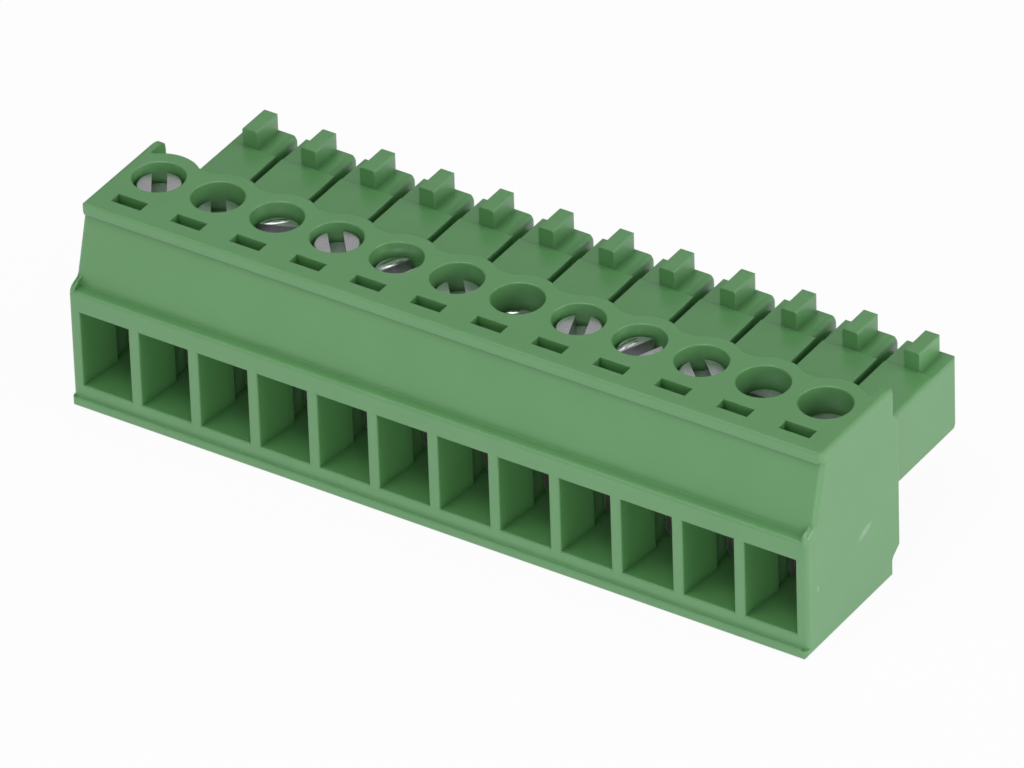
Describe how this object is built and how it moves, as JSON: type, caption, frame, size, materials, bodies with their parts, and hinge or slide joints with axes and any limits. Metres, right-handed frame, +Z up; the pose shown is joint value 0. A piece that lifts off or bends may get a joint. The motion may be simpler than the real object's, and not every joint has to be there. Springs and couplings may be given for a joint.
{
  "type": "pcb terminal block",
  "caption": "Green pluggable screw terminal block: a row of wire entries and clamp screws on a moulded housing, with a plug nose and coding ribs behind.",
  "frame": {"origin": "on the base plane, under the middle of the row and of the whole depth", "axes": "+X along the row of poles, +Y from the wire entries towards the plug nose, +Z up along the screws"},
  "size_m": [0.0426, 0.0156, 0.0111],
  "materials": {
    "housing_plastic": "satin moulded polyamide",
    "screw_steel": "zinc plated",
    "cage_steel": "nickel plated",
    "contact_strip": "tin plated copper alloy"
  },
  "bodies": {
    "housing": {"housing": "housing_plastic", "contact_1": "contact_strip", "contact_2": "contact_strip", "contact_3": "contact_strip", "contact_4": "contact_strip", "contact_5": "contact_strip", "contact_6": "contact_strip", "contact_7": "contact_strip", "contact_8": "contact_strip", "contact_9": "contact_strip", "contact_10": "contact_strip", "contact_11": "contact_strip", "contact_12": "contact_strip"},
    "screw_1": {"screw_1": "screw_steel"},
    "screw_2": {"screw_2": "screw_steel"},
    "screw_3": {"screw_3": "screw_steel"},
    "screw_4": {"screw_4": "screw_steel"},
    "screw_5": {"screw_5": "screw_steel"},
    "screw_6": {"screw_6": "screw_steel"},
    "screw_7": {"screw_7": "screw_steel"},
    "screw_8": {"screw_8": "screw_steel"},
    "screw_9": {"screw_9": "screw_steel"},
    "screw_10": {"screw_10": "screw_steel"},
    "screw_11": {"screw_11": "screw_steel"},
    "screw_12": {"screw_12": "screw_steel"},
    "cage_1": {"cage_1": "cage_steel"},
    "cage_2": {"cage_2": "cage_steel"},
    "cage_3": {"cage_3": "cage_steel"},
    "cage_4": {"cage_4": "cage_steel"},
    "cage_5": {"cage_5": "cage_steel"},
    "cage_6": {"cage_6": "cage_steel"},
    "cage_7": {"cage_7": "cage_steel"},
    "cage_8": {"cage_8": "cage_steel"},
    "cage_9": {"cage_9": "cage_steel"},
    "cage_10": {"cage_10": "cage_steel"},
    "cage_11": {"cage_11": "cage_steel"},
    "cage_12": {"cage_12": "cage_steel"}
  },
  "joints": [
    {"name": "screw_1_turn", "type": "hinge", "parent": "housing", "child": "screw_1", "pos_m": [-0.01925, -0.0023, 0.008], "axis": [0, 0, -1], "range_deg": [0, 1620]},
    {"name": "cage_1_rise", "type": "slide", "parent": "housing", "child": "cage_1", "axis": [0, 0, 1], "range_m": [0, 0.0018]},
    {"name": "screw_2_turn", "type": "hinge", "parent": "housing", "child": "screw_2", "pos_m": [-0.01575, -0.0023, 0.008], "axis": [0, 0, -1], "range_deg": [0, 1620]},
    {"name": "cage_2_rise", "type": "slide", "parent": "housing", "child": "cage_2", "axis": [0, 0, 1], "range_m": [0, 0.0018]},
    {"name": "screw_3_turn", "type": "hinge", "parent": "housing", "child": "screw_3", "pos_m": [-0.01225, -0.0023, 0.008], "axis": [0, 0, -1], "range_deg": [0, 1620]},
    {"name": "cage_3_rise", "type": "slide", "parent": "housing", "child": "cage_3", "axis": [0, 0, 1], "range_m": [0, 0.0018]},
    {"name": "screw_4_turn", "type": "hinge", "parent": "housing", "child": "screw_4", "pos_m": [-0.00875, -0.0023, 0.008], "axis": [0, 0, -1], "range_deg": [0, 1620]},
    {"name": "cage_4_rise", "type": "slide", "parent": "housing", "child": "cage_4", "axis": [0, 0, 1], "range_m": [0, 0.0018]},
    {"name": "screw_5_turn", "type": "hinge", "parent": "housing", "child": "screw_5", "pos_m": [-0.00525, -0.0023, 0.008], "axis": [0, 0, -1], "range_deg": [0, 1620]},
    {"name": "cage_5_rise", "type": "slide", "parent": "housing", "child": "cage_5", "axis": [0, 0, 1], "range_m": [0, 0.0018]},
    {"name": "screw_6_turn", "type": "hinge", "parent": "housing", "child": "screw_6", "pos_m": [-0.00175, -0.0023, 0.008], "axis": [0, 0, -1], "range_deg": [0, 1620]},
    {"name": "cage_6_rise", "type": "slide", "parent": "housing", "child": "cage_6", "axis": [0, 0, 1], "range_m": [0, 0.0018]},
    {"name": "screw_7_turn", "type": "hinge", "parent": "housing", "child": "screw_7", "pos_m": [0.00175, -0.0023, 0.008], "axis": [0, 0, -1], "range_deg": [0, 1620]},
    {"name": "cage_7_rise", "type": "slide", "parent": "housing", "child": "cage_7", "axis": [0, 0, 1], "range_m": [0, 0.0018]},
    {"name": "screw_8_turn", "type": "hinge", "parent": "housing", "child": "screw_8", "pos_m": [0.00525, -0.0023, 0.008], "axis": [0, 0, -1], "range_deg": [0, 1620]},
    {"name": "cage_8_rise", "type": "slide", "parent": "housing", "child": "cage_8", "axis": [0, 0, 1], "range_m": [0, 0.0018]},
    {"name": "screw_9_turn", "type": "hinge", "parent": "housing", "child": "screw_9", "pos_m": [0.00875, -0.0023, 0.008], "axis": [0, 0, -1], "range_deg": [0, 1620]},
    {"name": "cage_9_rise", "type": "slide", "parent": "housing", "child": "cage_9", "axis": [0, 0, 1], "range_m": [0, 0.0018]},
    {"name": "screw_10_turn", "type": "hinge", "parent": "housing", "child": "screw_10", "pos_m": [0.01225, -0.0023, 0.008], "axis": [0, 0, -1], "range_deg": [0, 1620]},
    {"name": "cage_10_rise", "type": "slide", "parent": "housing", "child": "cage_10", "axis": [0, 0, 1], "range_m": [0, 0.0018]},
    {"name": "screw_11_turn", "type": "hinge", "parent": "housing", "child": "screw_11", "pos_m": [0.01575, -0.0023, 0.008], "axis": [0, 0, -1], "range_deg": [0, 1620]},
    {"name": "cage_11_rise", "type": "slide", "parent": "housing", "child": "cage_11", "axis": [0, 0, 1], "range_m": [0, 0.0018]},
    {"name": "screw_12_turn", "type": "hinge", "parent": "housing", "child": "screw_12", "pos_m": [0.01925, -0.0023, 0.008], "axis": [0, 0, -1], "range_deg": [0, 1620]},
    {"name": "cage_12_rise", "type": "slide", "parent": "housing", "child": "cage_12", "axis": [0, 0, 1], "range_m": [0, 0.0018]}
  ],
  "couplings": [
    {"joint": "screw_1_turn", "follows": "cage_1_rise", "rad_per_m": 15707},
    {"joint": "screw_2_turn", "follows": "cage_2_rise", "rad_per_m": 15707},
    {"joint": "screw_3_turn", "follows": "cage_3_rise", "rad_per_m": 15707},
    {"joint": "screw_4_turn", "follows": "cage_4_rise", "rad_per_m": 15707},
    {"joint": "screw_5_turn", "follows": "cage_5_rise", "rad_per_m": 15707},
    {"joint": "screw_6_turn", "follows": "cage_6_rise", "rad_per_m": 15707},
    {"joint": "screw_7_turn", "follows": "cage_7_rise", "rad_per_m": 15707},
    {"joint": "screw_8_turn", "follows": "cage_8_rise", "rad_per_m": 15707},
    {"joint": "screw_9_turn", "follows": "cage_9_rise", "rad_per_m": 15707},
    {"joint": "screw_10_turn", "follows": "cage_10_rise", "rad_per_m": 15707},
    {"joint": "screw_11_turn", "follows": "cage_11_rise", "rad_per_m": 15707},
    {"joint": "screw_12_turn", "follows": "cage_12_rise", "rad_per_m": 15707}
  ]
}
